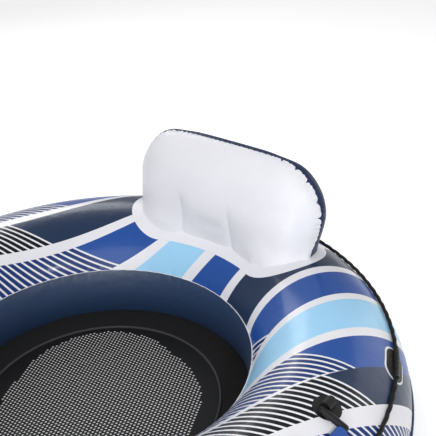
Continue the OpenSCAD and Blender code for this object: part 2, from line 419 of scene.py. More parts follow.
    def _band(self) -> bpy.types.NodeTree:
        """One printed band between two leaning edges, hatched between two heights.

        Returns:
            The group.
        """
        names = ["Across", "Along", "Climb", "Left", "Left lean", "Right", "Right lean"]
        names += ["Hatch low", "Hatch high", "Hatch pitch", "Hatch line"]
        inks = ["Under", "Band", "Ground", "Paper"]
        w, reads, feeds = new_group(
            "Printed band",
            {n: SocketKind.VALUE for n in names} | {n: SocketKind.COLOUR for n in inks},
            {"Colour": SocketKind.COLOUR},
        )

        def edge(side: str) -> Socket:
            """Where the band's left or right edge is, at this place along it."""
            return w.math("MULTIPLY_ADD", reads["Along"], reads[f"{side} lean"], reads[side])

        inside = w.math(
            "MULTIPLY",
            w.above(reads["Across"], edge("Left")),
            w.math("SUBTRACT", 1.0, w.above(reads["Across"], edge("Right"))),
        )
        below = w.math("SUBTRACT", reads["Hatch high"], reads["Climb"])
        hatched = w.math(
            "MULTIPLY", w.above(below, 0.0), w.above(reads["Climb"], reads["Hatch low"])
        )
        step = w.math("FRACT", w.math("DIVIDE", below, reads["Hatch pitch"]))
        gap = w.above(w.math("MULTIPLY", step, reads["Hatch pitch"]), reads["Hatch line"])
        hatch = w.mix(gap, reads["Paper"], reads["Ground"])
        shown = w.mix(hatched, reads["Band"], hatch)
        w.feed(feeds["Colour"], w.mix(inside, reads["Under"], shown))
        return w.tree

    def _patch_ring(self) -> bpy.types.NodeTree:
        """The outline printed around the two patches at one turn, left and right.

        Returns:
            The group.
        """
        names = ["Turn", "Angle", "Reach", "At turn", "At angle", "Tube radius", "Straight", "Outer"]
        w, reads, feeds = new_group(
            "Patch outline", {n: SocketKind.VALUE for n in names}, {"Mask": SocketKind.VALUE}
        )
        near = w.math("SUBTRACT", w.math("ABSOLUTE", reads["Turn"]), reads["At turn"])
        sideways = w.math("ABSOLUTE", w.math("MULTIPLY", near, reads["Reach"]))
        past = w.math("MAXIMUM", w.math("SUBTRACT", sideways, reads["Straight"]), 0.0)
        climb = w.math("SUBTRACT", reads["Angle"], reads["At angle"])
        up = w.math("MULTIPLY", climb, reads["Tube radius"])
        away = w.length(past, up)
        w.feed(feeds["Mask"], w.math("SUBTRACT", 1.0, w.above(away, reads["Outer"])))
        return w.tree


EFFECTS = Effects()


# -------------------------------------------------------------------- finishes


@dataclass(frozen=True)
class Finish:
    """A finish: one material with its own colour, gloss and surface detail."""

    name: str
    colour: Colour
    roughness: float = 0.5

    def build(self) -> bpy.types.Material:
        """Makes the material, or returns it if it is there already.

        Returns:
            The material.
        """
        made = bpy.data.materials.get(self.name)
        if made:
            return made
        made = bpy.data.materials.new(self.name)
        made.use_nodes = True
        made.diffuse_color = self.colour
        w = Wiring(made.node_tree)
        shader = made.node_tree.nodes["Principled BSDF"]
        where = w.add("TexCoord").outputs["Object"]
        self.dress(w, shader, where)
        return made

    def dress(self, w: Wiring, shader: bpy.types.Node, where: Socket) -> None:
        """Wires the finish into the shader; each kind of finish has its own way."""
        w.fill(shader, {"Base Color": self.colour, "Roughness": self.roughness})

    def toned(self, w: Wiring, colour: object, tone: Socket) -> Socket:
        """Returns a colour made lighter or darker by a tone of about 1.

        Args:
            w: Wiring of the material.
            colour: The colour.
            tone: The tone.

        Returns:
            The toned colour.
        """
        return w.mix(1.0, colour, tone, blend="MULTIPLY")

    def bump(self, w: Wiring, shader: bpy.types.Node, height: Socket, distance: float) -> None:
        """Feeds a height to the shader's normal through a Bump node.

        Args:
            w: Wiring of the material.
            shader: The shader.
            height: The height, about 0 to 1.
            distance: How far a height of 1 stands out.
        """
        node = w.add("Bump")
        w.fill(node, {"Distance": distance, "Strength": 1.0, "Height": height})
        w.feed(shader.inputs["Normal"], node.outputs["Normal"])


@dataclass(frozen=True)
class Vinyl(Finish):
    """Blown vinyl film with a soft gloss."""

    roughness: float = 0.34
    specular: float = 0.24
    coat: float = 0.14
    coat_roughness: float = 0.1
    swell: float = 1.0
    depth: float = 0.001

    def paint(self, w: Wiring, where: Socket) -> object:
        """Returns the film's own colour, before tone."""
        return self.colour

    def dress(self, w: Wiring, shader: bpy.types.Node, where: Socket) -> None:
        """Wires colour, gloss and swells.

        Args:
            w: Wiring of the material.
            shader: The shader.
            where: Position in the object.
        """
        film = w.group(EFFECTS.film, position=where, swell=self.swell)
        inputs = {
            "Base Color": self.toned(w, self.paint(w, where), film["Tone"]),
            "Roughness": w.math("ADD", film["Gloss"], self.roughness, clamp=True),
            "Coat Weight": self.coat,
            "Coat Roughness": self.coat_roughness,
            "Specular IOR Level": self.specular,
        }
        w.fill(shader, inputs)
        self.bump(w, shader, film["Height"], self.depth)


@dataclass(frozen=True)
class Band:
    """A band of the ring's print, in the sheet's own coordinates."""

    left: float
    right: float
    colour: Colour
    left_lean: float = 0.0
    right_lean: float = 0.0
    hatch: tuple[float, float] | None = None
    ground: Colour = (0.0, 0.0, 0.0, 1.0)
    fanned: bool = True


NO_HATCH = (9.0, 9.0)
WHITE = (1.0, 1.0, 1.0, 1.0)
NAVY = ink(32, 50, 80)
ROYAL = ink(34, 80, 158)
SKY = ink(160, 212, 245)
PAPER = ink(233, 233, 238)
NAVY_GROUND = ink(4, 10, 20)
ROYAL_GROUND = ink(16, 50, 114)


@dataclass(frozen=True)
class PrintedVinyl(Vinyl):
    """White film with slanting bands, some of them hatched, and an outline round each patch."""

    ring_radius: float = 0.4447
    tube_radius: float = 0.1503
    tube_height: float = 0.1473
    hatch_pitch: float = 0.012
    hatch_line: float = 0.004
    bands: tuple[Band, ...] = ()
    patch_turns: tuple[float, ...] = (0, 62, 120, 180)
    patch_angle: float = math.radians(40)
    patch_straight: float = 0.016
    patch_outline: float = 0.0252

    def paint(self, w: Wiring, where: Socket) -> object:
        """Lays the bands over the paper, then the patch outlines.

        Args:
            w: Wiring of the material.
            where: Position in the object.

        Returns:
            The printed colour.
        """
        at = w.group(
            EFFECTS.place,
            position=where,
            ring_radius=self.ring_radius,
            tube_radius=self.tube_radius,
            tube_height=self.tube_height,
        )
        straight = at["Along"]
        fanned = w.math("ABSOLUTE", straight)
        colour: object = self.colour
        for band in self.bands:
            low, high = band.hatch or NO_HATCH
            colour = w.group(
                EFFECTS.band,
                across=at["Across"],
                along=fanned if band.fanned else straight,
                climb=at["Climb"],
                left=band.left * MM,
                left_lean=band.left_lean,
                right=band.right * MM,
                right_lean=band.right_lean,
                hatch_low=low * MM,
                hatch_high=high * MM,
                hatch_pitch=self.hatch_pitch,
                hatch_line=self.hatch_line,
                under=colour,
                band=band.colour,
                ground=band.ground,
                paper=self.colour,
            )["Colour"]
        for turn in self.patch_turns:
            ring = w.group(
                EFFECTS.patch_ring,
                turn=at["Turn"],
                angle=at["Angle"],
                reach=at["Reach"],
                at_turn=math.radians(turn),
                at_angle=self.patch_angle,
                tube_radius=self.tube_radius,
                straight=self.patch_straight,
                outer=self.patch_outline,
            )["Mask"]
            colour = w.mix(ring, colour, self.colour)
        return colour


@dataclass(frozen=True)
class Fabric(Finish):
    """Woven polyester: a plain weave with a little sheen."""

    roughness: float = 0.8
    pitch: float = 0.0009
    depth: float = 0.0002
    sheen: float = 0.04
    specular: float = 0.15

    def dress(self, w: Wiring, shader: bpy.types.Node, where: Socket) -> None:
        """Wires the weave into colour, with its painted shade between threads, and into bump.

        Args:
            w: Wiring of the material.
            shader: The shader.
            where: Position in the object.
        """
        weave = w.group(EFFECTS.weave, position=where, pitch=self.pitch)
        inputs = {
            "Base Color": self.toned(w, self.colour, weave["Tone"]),
            "Roughness": self.roughness,
            "Specular IOR Level": self.specular,
            "Sheen Weight": self.sheen,
        }
        w.fill(shader, inputs)
        self.bump(w, shader, weave["Height"], self.depth)


@dataclass(frozen=True)
class Embossed(Finish):
    """Vinyl or plastic with an embossed grain."""

    scale: float = 420.0
    depth: float = 0.0004
    specular: float = 0.3

    def dress(self, w: Wiring, shader: bpy.types.Node, where: Socket) -> None:
        """Wires the grain into colour, with its painted crease shade and crown highlight, and into
        gloss and bump.

        Args:
            w: Wiring of the material.
            shader: The shader.
            where: Position in the object.
        """
        grain = w.group(EFFECTS.grain, position=where, scale=self.scale)
        base, worn = self.roughness + 0.08, -0.12
        inputs = {
            "Base Color": self.toned(w, self.colour, grain["Tone"]),
            "Roughness": w.math("MULTIPLY_ADD", grain["Height"], worn, base, clamp=True),
            "Specular IOR Level": self.specular,
        }
        w.fill(shader, inputs)
        self.bump(w, shader, grain["Height"], self.depth)


@dataclass(frozen=True)
class SoftClear(Finish):
    """Soft tinted plastic that lets some light through, as a valve is moulded in."""

    roughness: float = 0.28
    cloudy: float = 0.3
    scatter: tuple[float, float, float] = (0.004, 0.005, 0.006)
    clear: float = 0.25
    swell: float = 0.3
    depth: float = 0.0004

    def dress(self, w: Wiring, shader: bpy.types.Node, where: Socket) -> None:
        """Wires a tinted, cloudy plastic.

        Args:
            w: Wiring of the material.
            shader: The shader.
            where: Position in the object.
        """
        film = w.group(EFFECTS.film, position=where, swell=self.swell)
        inputs = {
            "Base Color": self.toned(w, self.colour, film["Tone"]),
            "Roughness": w.math("ADD", film["Gloss"], self.roughness, clamp=True),
            "Subsurface Weight": self.cloudy,
            "Subsurface Radius": self.scatter,
            "Transmission Weight": self.clear,
        }
        w.fill(shader, inputs)
        self.bump(w, shader, film["Height"], self.depth)


@dataclass(frozen=True)
class Twine(Finish):
    """Braided fibre: fine strands and a dull sheen."""

    roughness: float = 0.62
    fibre: float = 1800.0
    specular: float = 0.2
    sheen: float = 0.05
    depth: float = 0.0005

    def dress(self, w: Wiring, shader: bpy.types.Node, where: Socket) -> None:
        """Wires fine fibres into colour and bump.

        Args:
            w: Wiring of the material.
            shader: The shader.
            where: Position in the object.
        """
        fine = w.noise(where, self.fibre, 3.0)
        slow = w.noise(where, 60.0, 2.0)
        tone = w.math("MULTIPLY_ADD", fine, 0.5, w.math("MULTIPLY_ADD", slow, 0.4, 0.55))
        inputs = {
            "Base Color": self.toned(w, self.colour, tone),
            "Roughness": self.roughness,
            "Specular IOR Level": self.specular,
            "Sheen Weight": self.sheen,
        }
        w.fill(shader, inputs)
        self.bump(w, shader, fine, self.depth)


OUTER_LEAN = -0.055
PRINT_BANDS = (
    Band(-700, -446, ROYAL, 0, OUTER_LEAN, (-365, 365), ROYAL_GROUND, False),
    Band(-426, -342, NAVY, -0.09, OUTER_LEAN, (10, 246), NAVY_GROUND, False),
    Band(-318, -240, ROYAL, -0.066, -0.1, (-35, 261), ROYAL_GROUND, False),
    Band(-205, -132, SKY, -0.165, -0.141),
    Band(-124, -64, ROYAL, -0.081, -0.035),
    Band(-45, 31, NAVY, -0.028, 0),
    Band(53, 128, ROYAL, 0, 0, (-114, 114), ROYAL_GROUND),
    Band(146, 227, SKY),
    Band(248, 322, ROYAL, 0, 0, (-261, 36), ROYAL_GROUND, False),
    Band(342, 426, NAVY, OUTER_LEAN, -0.09, (-246, -10), NAVY_GROUND, False),
    Band(446, 700, ROYAL, OUTER_LEAN, 0, (-365, 365), ROYAL_GROUND, False),
)


class Palette:
    """Every finish of the tube, by the record's material slot."""

    printed = PrintedVinyl("Printed vinyl", PAPER, bands=PRINT_BANDS)
    navy = Vinyl("Navy vinyl", ink(36, 58, 96), swell=1.4)
    wall = Vinyl(
        "Inner wall navy vinyl",
        ink(33, 58, 94),
        roughness=0.5,
        specular=1.0,
        coat=0.1,
        swell=1.2,
    )
    white = Vinyl("White vinyl", ink(234, 234, 240), roughness=0.38, coat=0.06)
    rear = Vinyl("Backrest navy vinyl", ink(42, 53, 84), roughness=0.4, specular=0.15, coat=0.02)
    blue = Vinyl("Blue vinyl", ink(34, 78, 158))
    skirt = Fabric("Skirt fabric", ink(28, 28, 29))
    piping = Fabric("Piping fabric", ink(74, 74, 76), pitch=0.0005)
    mesh = Embossed("Punched mesh", ink(15, 15, 17), roughness=0.6, scale=900.0, depth=0.00015)
    rope = Twine("Black rope", ink(8, 8, 9))
    thread = Twine("Stitching thread", ink(58, 58, 61))
    patch = Embossed("Patch vinyl", ink(19, 19, 20), roughness=0.34, scale=260.0, depth=0.0009)
    plastic = Embossed("Black plastic", ink(18, 18, 20), roughness=0.42, scale=700.0, depth=0.0002)
    grip = Embossed("Blue grip", ink(44, 88, 172), roughness=0.5, scale=520.0, depth=0.0003)
    valve = SoftClear("Valve plastic", ink(170, 208, 232))


# ---------------------------------------------------------------------- meshes


def clamp(value: float) -> float:
    """Returns a value kept between 0 and 1."""
    return min(1.0, max(0.0, value))


def eased(share: float) -> float:
    """Returns a share from 0 to 1 with a soft start and a soft end."""
    return share * share * (3 - 2 * share)


def bell(distance: float, width: float) -> float:
    """Returns 1 at no distance, falling off softly over a width."""
    return math.exp(-((distance / width) ** 2))


def everything(bm: bmesh.types.BMesh) -> list:
    """Returns all the vertices, edges and faces of a mesh."""
    return list(bm.verts) + list(bm.edges) + list(bm.faces)


def face_up(bm: bmesh.types.BMesh) -> None:
    """Turns a level sheet over if it faces down."""
    if sum(f.normal.z for f in bm.faces) < 0:
        bmesh.ops.reverse_faces(bm, faces=bm.faces)


def spin_copies(
    bm: bmesh.types.BMesh, steps: int, angle: float = 0.0, shift: tuple = (0.0, 0.0, 0.0)
) -> None:
    """Repeats a whole mesh round the Z axis, or along a line.

    Args:
        bm: The mesh, which the copies are added to.
        steps: Number of copies.
        angle: Angle from the mesh to its last copy.
        shift: How far each copy is moved from the one before.
    """
    bmesh.ops.spin(
        bm,
        geom=everything(bm),
        cent=(0, 0, 0),
        axis=(0, 0, 1),
        dvec=shift,
        angle=angle,
        steps=steps,
        use_duplicate=True,
    )


def lathe(profile: Profile, steps: int, closed: bool = False) -> bmesh.types.BMesh:
    """Spins a profile of (distance from the axis, height) once round the Z axis.

    Args:
        profile: The points of the profile, in order.
        steps: Number of steps round the axis.
        closed: Whether the last point joins the first.

    Returns:
        The spun mesh.
    """
    bm = bmesh.new()
    verts = [bm.verts.new((reach, 0, height)) for reach, height in profile]
    pairs = list(zip(verts, verts[1:])) + ([(verts[-1], verts[0])] if closed else [])
    edges = [bm.edges.new(pair) for pair in pairs]
    bmesh.ops.spin(
        bm,
        geom=verts + edges,
        cent=(0, 0, 0),
        axis=(0, 0, 1),
        angle=math.tau,
        steps=steps,
        use_merge=True,
    )
    bmesh.ops.remove_doubles(bm, verts=bm.verts, dist=1e-6)
    if closed:
        bmesh.ops.recalc_face_normals(bm, faces=bm.faces)
    return bm


def to_object(
    bm: bmesh.types.BMesh, name: str, finish: Finish, smooth: bool = True
) -> bpy.types.Object:
    """Makes a bmesh an object at the origin, dressed in a finish.

    Args:
        bm: The mesh, which is used up.
        name: The piece's name.
        finish: Its finish.
        smooth: Whether its faces are shaded smooth.

    Returns:
        The piece.
    """
    mesh = bpy.data.meshes.new(name)
    bm.to_mesh(mesh)
    bm.free()
    mesh.polygons.foreach_set("use_smooth", [smooth] * len(mesh.polygons))
    mesh.materials.append(finish.build())
    made = bpy.data.objects.new(name, mesh)
    bpy.context.scene.collection.objects.link(made)
    return made


def thicken(piece: bpy.types.Object, thickness: float) -> None:
    """Gives an open sheet its thickness, inwards from its faces, and applies it.

    Args:
        piece: The sheet.
        thickness: How thick it becomes.
    """
    solid = piece.modifiers.new("Thickness", "SOLIDIFY")
    solid.thickness = thickness
    solid.offset = -1
    bake(piece)


def bake(piece: bpy.types.Object) -> None:
    """Applies a piece's modifiers to its mesh.

    Args:
        piece: The piece.
    """
    depsgraph = bpy.context.evaluated_depsgraph_get()
    made = bpy.data.meshes.new_from_object(piece.evaluated_get(depsgraph))
    old = piece.data
    piece.modifiers.clear()
    piece.data = made
    bpy.data.meshes.remove(old)


def settle(piece: bpy.types.Object, body: str, slot: str, *nodes: str) -> bpy.types.Object:
    """Makes a piece ride on a body and hides the CAD nodes that it stands for.

    Args:
        piece: The piece.
        body: The body it rides on.
        slot: Its material slot; not used.
        nodes: The frame's nodes that it stands for.

    Returns:
        The piece.
    """
    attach(piece, body)
    if nodes:
        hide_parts(*nodes)
    LOG.info("%s: %d faces on %s", piece.name, len(piece.data.polygons), body)
    return piece


def dress_node(name: str, finish: Finish) -> None:
    """Gives a carried-over CAD node its finish.

    Args:
        name: The node's name.
        finish: Its finish.
    """
    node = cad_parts[name]
    node.data.materials.clear()
    node.data.materials.append(finish.build())
    LOG.info("%s: %s", name, finish.name)


# ------------------------------------------------------------------------ ring


@dataclass(frozen=True)
class Torus:
    """The inflated ring's shape, with its underside pressed flat on the ground."""

    ring_radius: float = 0.4447
    tube_radius: float = 0.1503
    height: float = 0.1473

    def at(self, turn: float, angle: float, out: float = 0.0) -> Vector:
        """The point at a turn round the ring and an angle round the tube, that far off the skin.

        Args:
            turn: Angle round the ring.
            angle: Angle round the tube.
            out: Distance off the skin.

        Returns:
            The point.
        """
        radius = self.tube_radius + out
        reach = self.ring_radius + radius * math.cos(angle)
        high = max(self.height + radius * math.sin(angle), -out)
        return Vector((reach * math.sin(turn), reach * math.cos(turn), high))

    def where(self, point: Vector) -> tuple[float, float]:
        """The turn and the angle, from 0 to a full turn, of a point.

        Args:
            point: Any point near the ring.

        Returns:
            Its turn and its angle.
        """
        reach = math.hypot(point.x, point.y)
        angle = math.atan2(point.z - self.height, reach - self.ring_radius)
        return math.atan2(point.x, point.y), angle % math.tau

    def frame_at(self, turn: float, angle: float) -> Matrix:
        """A frame on the skin: z out of it, x along the ring, y towards the outer equator.

        Args:
            turn: Angle round the ring.
            angle: Angle round the tube.

        Returns:
            The frame's matrix.
        """
        origin = self.at(turn, angle)
        return (
            Matrix.Rotation(-turn, 4, "Z")
            @ Matrix.Translation((0, math.hypot(origin.x, origin.y), origin.z))
            @ Matrix.Rotation(angle - math.pi / 2, 4, "X")
        )


TORUS = Torus()


@dataclass
class Ring:
    """The ring's three skins and the welds between them."""

    wall_angle: float = math.radians(21.6)
    skin: float = 0.0005
    steps: int = 800
    outer_folds: int = 96
    inner_folds: int = 72
    outer_depth: float = 0.0016
    inner_depth: float = 0.0008
    reach: float = 0.016
    near_rows: tuple[float, ...] = (0.0, 0.012, 0.026, 0.044, 0.066, 0.094, 0.13, 0.175)
    row_step: float = math.radians(5.2)
    ground: float = 0.002
    flange_root: float = 0.0008
    flange_half: float = 0.0005
    flange_wave: float = 0.14
    hole_depth: float = 0.03
    hole_ease: float = 0.035
    hole_passes: int = 8
    cup_turn: float = math.radians(125)
    cup_radius: float = 0.0435
    valve_turn: float = math.radians(150)
    valve_angle: float = math.radians(70)
    valve_radius: float = 0.0175

    def wave(self, turn: float, count: int) -> float:
        """Returns a wave round the ring, -1 to 1, whose crests are unevenly spaced."""
        return math.sin(count * turn + 1.1 * math.sin(5 * turn) + 0.8 * math.sin(11 * turn + 1))

    def fold(self, turn: float, away: float, count: int, depth: float) -> float:
        """Depth of the small folds that run away from a weld, where the film is gathered.

        Args:
            turn: Angle round the ring.
            away: Distance from the weld.
            count: Folds round the ring.
            depth: Depth of the deepest.

        Returns:
            The depth.
        """
        crease = max(0.0, self.wave(turn, count)) ** 2 * (0.65 + 0.35 * math.sin(7 * turn + 2))
        return depth * crease * bell(away, self.reach)

    def rows(self, start: float, end: float) -> list[float]:
        """Angles round the tube from start to end, closer together beside the welds.

        Args:
            start: First angle.
            end: Last angle.

        Returns:
            The angles.
        """
        span = end - start
        near = self.near_rows
        edge = near[-1]
        wide = span - 2 * edge
        middle = max(2, round(wide / self.row_step))
        inner = tuple(edge + wide * i / middle for i in range(1, middle))
        return [start + a for a in near + inner + tuple(span - a for a in reversed(near))]

    def skin_mesh(self, start: float, end: float) -> bmesh.types.BMesh:
        """Spins one skin and puts the folds in it beside its two welds.

        Args:
            start: Angle of its first weld.
            end: Angle of its second weld.

        Returns:
            The skin, facing out.
        """
        points = [TORUS.at(math.pi / 2, angle) for angle in self.rows(start, end)]
        bm = lathe([(p.x, p.z) for p in points], self.steps)
        outer = (0.0, math.tau)
        for vert in bm.verts:
            turn, angle = TORUS.where(vert.co)
            if angle < start - math.pi / 2:
                angle += math.tau
            sunk = 0.0
            for weld in (start, end):
                count, depth = (
                    (self.outer_folds, self.outer_depth)
                    if weld in outer
                    else (self.inner_folds, self.inner_depth)
                )
                away = abs(angle - weld) * TORUS.tube_radius
                sunk += self.fold(turn, away, count, depth)
            if vert.co.z > self.ground:
                vert.co = TORUS.at(turn, angle, -sunk)
        face = next(iter(bm.faces))
        turn, angle = TORUS.where(face.calc_center_median())
        if face.normal.dot(TORUS.at(turn, angle, 0.01) - TORUS.at(turn, angle)) < 0:
            bmesh.ops.reverse_faces(bm, faces=bm.faces)
        return bm

    def cut_round(self, bm: bmesh.types.BMesh, place: Matrix, radius: float) -> None:
        """Cuts a round hole about a frame's z axis, with a true rim and even faces round it.

        Args:
            bm: The skin.
            place: The frame at the hole's middle.
            radius: The hole's radius.
        """
        inverse = place.inverted()

        def within(vert: bmesh.types.BMVert, limit: float) -> bool:
            """Whether a vertex is that close to the hole's middle."""
            spot = inverse @ vert.co
            return abs(spot.z) < self.hole_depth and spot.xy.length < limit

        near = {v for v in bm.verts if within(v, radius)}
        gone = [f for f in bm.faces if any(v in near for v in f.verts)]
        rim = {v for f in gone for v in f.verts} - near
        bmesh.ops.delete(bm, geom=gone, context="FACES")
        for vert in rim:
            if vert.is_valid:
                spot = inverse @ vert.co
                spot.xy = spot.xy.normalized() * radius
                vert.co = TORUS.at(*TORUS.where(place @ spot))
        around = [v for v in bm.verts if v not in rim and within(v, radius + self.hole_ease)]
        axes = dict.fromkeys(("use_axis_x", "use_axis_y", "use_axis_z"), True)
        for _ in range(self.hole_passes):
            bmesh.ops.smooth_vert(bm, verts=around, factor=0.5, **axes)
            for vert in around:
                vert.co = TORUS.at(*TORUS.where(vert.co))

    def seam(self, name: str, angle: float, height: float, count: int, body_slot: str) -> None:
        """Makes a weld's thin flange, which waves a little with the folds.

        Args:
            name: The weld's node.
            angle: Its angle round the tube.
            height: How far it stands out.
            count: Folds round the ring.
            body_slot: Its material slot.
        """
        root, half = -self.flange_root, self.flange_half
        section: Profile = []
        for proud, aside in ((root, -half), (height, -half), (height, half), (root, half)):
            point = TORUS.at(math.pi / 2, angle + aside / TORUS.tube_radius, proud)
            section.append((point.x, point.z))
        bm = lathe(section, self.steps, closed=True)
        for vert in bm.verts:
            turn, here = TORUS.where(vert.co)
            proud = (vert.co - TORUS.at(turn, here)).length
            vert.co.z += self.flange_wave * proud * self.wave(turn, count)
        finish = Palette.navy if body_slot == "navy_vinyl" else Palette.white
        settle(to_object(bm, f"{name}_flange", finish), "root", body_slot, name)

    def build(self) -> None:
        """Builds the skins and their seams."""
        upper, lower = math.pi - self.wall_angle, math.pi + self.wall_angle
        top = self.skin_mesh(0.0, upper)
        for side in (1, -1):
            cup = Matrix.Translation(TORUS.at(side * self.cup_turn, math.pi / 2))
            self.cut_round(top, cup, self.cup_radius)
            valve = TORUS.frame_at(side * self.valve_turn, self.valve_angle)
            self.cut_round(top, valve, self.valve_radius)
        wall, bottom = self.skin_mesh(upper, lower), self.skin_mesh(lower, math.tau)
        skins = (
            ("ring_top", top, Palette.printed, "printed_vinyl", "top_panel"),
            ("ring_inner_wall", wall, Palette.wall, "navy_vinyl", "inner_wall"),
            ("ring_bottom", bottom, Palette.navy, "navy_vinyl", "bottom_panel"),
        )
        for name, bm, finish, slot, node in skins:
            piece = to_object(bm, name, finish)
            thicken(piece, self.skin)
            settle(piece, "root", slot, node)
        self.seam("outer_seam", 0.0, 0.004, self.outer_folds, "navy_vinyl")
        self.seam("inner_seam", upper, 0.002, self.inner_folds, "white_vinyl")
        dress_node("chamber_walls", Palette.white)


# -------------------------------------------------------------------- backrest


@dataclass
class Backrest:
    """The inflated backrest: a white front, a navy rear, the weld between them and its foot."""

    origin: Vector = field(default_factory=lambda: Vector((0, 0.416, 0.2976)))
    lean: float = math.radians(8)
    half_width: float = 0.241
    height: float = 0.185
    corner: float = 0.110
    half_depth: float = 0.066
    foot_radius: float = 0.4375
    foot_angle: float = math.radians(20.7)
    foot_depth: float = 0.076
    foot_room: float = 0.002
    blown: float = 0.006
    foot_hollow: tuple[float, float] = (0.008, 0.022)
    hollow_height: float = 0.065
    hollow_front: float = 0.05
    hollow_middle: float = 0.125
    hollow_end: tuple[float, float] = (0.235, 0.05)
    foot_narrowing: float = 0.028
    narrowing_height: float = 0.09
    arch: float = 0.004
    arch_reach: tuple[float, float] = (0.2, 0.1)
    foot_low: float = 0.027
    foot_tall: float = 0.046
    soften: int = 6
    webs: tuple[float, float] = (-0.078, 0.053)
    web_top: float = 0.084
    web_sink: float = 0.0065
    web_width: float = 0.013
    web_ease: float = 0.05
    web_thickness: float = 0.0005
    web_box: tuple[float, float, float, float] = (-0.048, 0.058, 0.002, 0.08)
    voxel: float = 0.0055
    weld_width: float = 0.02
    pressure: float = 4.0
    stretch: float = 25
    bend: float = 0.3
    frames: int = 20
    most_moved: float = 0.012
    easing: int = 24
    gathers: tuple[float, ...] = (0.140, 0.177, 0.213, 0.260, 0.293)
    gather_depth: float = 0.007
    gather_width: float = 0.0024
    gather_reach: float = 0.009
    seed: int = 7
    fold_end: float = 0.38
    fold_corner: tuple[float, float] = (0.1, 0.33)
    fold_depth: tuple[float, float] = (0.0006, 0.0016)
    fold_width: tuple[float, float] = (0.0016, 0.0028)
    fold_spacing: tuple[float, float] = (0.008, 0.016)
    fold_reach: float = 0.013
    pull_gap: float = 0.06
    pull_depth: float = 0.08
    proud: float = 0.0004
    weld_forward: float = 0.005
    weld_end: float = 0.010
    weld_foot: tuple[float, float] = (0.04, 0.025)
    weld_reach: float = 0.022
    rear_bulge: float = 0.0085
    bulge_reach: float = 0.02
    bulge_height: float = 0.12
    bulge_dip: tuple[float, float, float] = (0.14, 0.03, 0.45)
    fine: tuple[float, float] = (0.016, 0.03)
    buried: float = 0.004
    flange: float = 0.0012
    flange_thickness: float = 0.0008
    folds: list[tuple[float, float, float]] = field(default_factory=list)

    def to_row(self) -> Matrix:
        """The matrix from the backrest's leaning frame to the row's."""
        return Matrix.Translation(self.origin) @ Matrix.Rotation(-self.lean, 4, "X")

    def blank(self) -> bpy.types.Object:
        """The uninflated shape: two round shoulders and a long foot, in one skin.

        Returns:
            The shape, remeshed evenly.
        """
        bm = bmesh.new()
        row = self.to_row()
        end = self.half_width - self.corner
        foot = self.foot_depth - self.foot_room
        depth = self.half_depth - self.blown
        sizes = Matrix.Diagonal((self.corner, depth, self.corner, 1))
        for side in (-1, 1):
            place = Matrix.Translation((side * end, 0, self.height - self.corner))
            bmesh.ops.create_uvsphere(
                bm, u_segments=48, v_segments=32, radius=1, matrix=row @ place @ sizes
            )
        for turn in (-self.foot_angle, 0, self.foot_angle):
            spot = Vector((math.sin(turn), math.cos(turn), 0)) * self.foot_radius
            spot.z = self.origin.z - self.foot_low
            bmesh.ops.create_cone(
                bm,
                cap_ends=True,
                segments=64,
                radius1=foot,
                radius2=foot,
                depth=self.foot_tall,
                matrix=Matrix.Translation(spot),
            )
        hull = bmesh.ops.convex_hull(bm, input=bm.verts, use_existing_faces=False)
        inside = set(hull["geom_interior"] + hull["geom_unused"])
        spare = [g for g in inside if isinstance(g, bmesh.types.BMVert)]
        bmesh.ops.delete(bm, geom=spare, context="VERTS")
        piece = to_object(bm, "backrest_blank", Palette.white)
        remesh = piece.modifiers.new("Voxels", "REMESH")
        remesh.mode = "VOXEL"
        remesh.voxel_size = self.voxel
        smooth = piece.modifiers.new("Soften", "SMOOTH")
        smooth.iterations = self.soften
        bake(piece)
        return piece

    def shape(self, piece: bpy.types.Object) -> None:
        """Hollows the front of the foot to follow the ring, draws in the foot and arches the top.

        Args:
            piece: The blank.
        """
        inverse = self.to_row().inverted()
        least, more = self.foot_hollow
        end, ease = self.hollow_end
        aside, high = self.arch_reach
        for vert in piece.data.vertices:
            local = inverse @ vert.co
            fade = eased(clamp(1 - local.z / self.hollow_height))
            front = clamp(-local.y / self.hollow_front)
            across = abs(vert.co.x)
            hollow = least + more * max(0.0, 1 - (across / self.hollow_middle) ** 2)
            hollow *= clamp((end - across) / ease)
            vert.co.y += hollow * fade * front
            vert.co.x *= 1 - self.foot_narrowing * clamp(1 - local.z / self.narrowing_height)
            vert.co.z -= self.arch * (across / aside) ** 2 * clamp(local.z / high)

    def pins(self, piece: bpy.types.Object) -> None:
        """Marks what holds still as the air goes in: the weld and the foot.

        Args:
            piece: The shaped blank.
        """
        group = piece.vertex_groups.new(name="held")
        inverse = self.to_row().inverted()
        for vert in piece.data.vertices:
            local = inverse @ vert.co
            weld = abs(local.y) < 0.6 * self.voxel and self.gap(local) < self.weld_width
            if weld or self.depth_in_ring(vert.co) > -0.7 * self.voxel:
                group.add([vert.index], 1.0, "REPLACE")

    def depth_in_ring(self, point: Vector) -> float:
        """How deep a point is inside the ring, negative outside it."""
        reach = math.hypot(point.x, point.y) - TORUS.ring_radius
        return TORUS.tube_radius - math.hypot(reach, point.z - TORUS.height)

    def corner_offset(self, local: Vector) -> tuple[float, float, float]:
        """The side, and how far past its corner's centre a point is, across and up.

        Args:
            local: The point, in the leaning frame.

        Returns:
            Side, distance across and distance up.
        """
        across = max(0.0, abs(local.x) - self.half_width + self.corner)
        up = max(0.0, local.z - self.height + self.corner)
        return math.copysign(1.0, local.x), across, up

    def gap(self, local: Vector) -> float:
        """How far a point of the leaning frame is inside the outline, seen from the front."""
        _, across, up = self.corner_offset(local)
        return self.corner - math.hypot(across, up)

    def outward(self, local: Vector) -> Vector:
        """The direction out of the outline, in the leaning frame.

        Args:
            local: The point, in the leaning frame.

        Returns:
            A unit vector, or none in the middle.
        """
        side, across, up = self.corner_offset(local)
        if across + up < 1e-6:
            return Vector((0, 0, 0))
        return Vector((side * across, 0, up)).normalized()

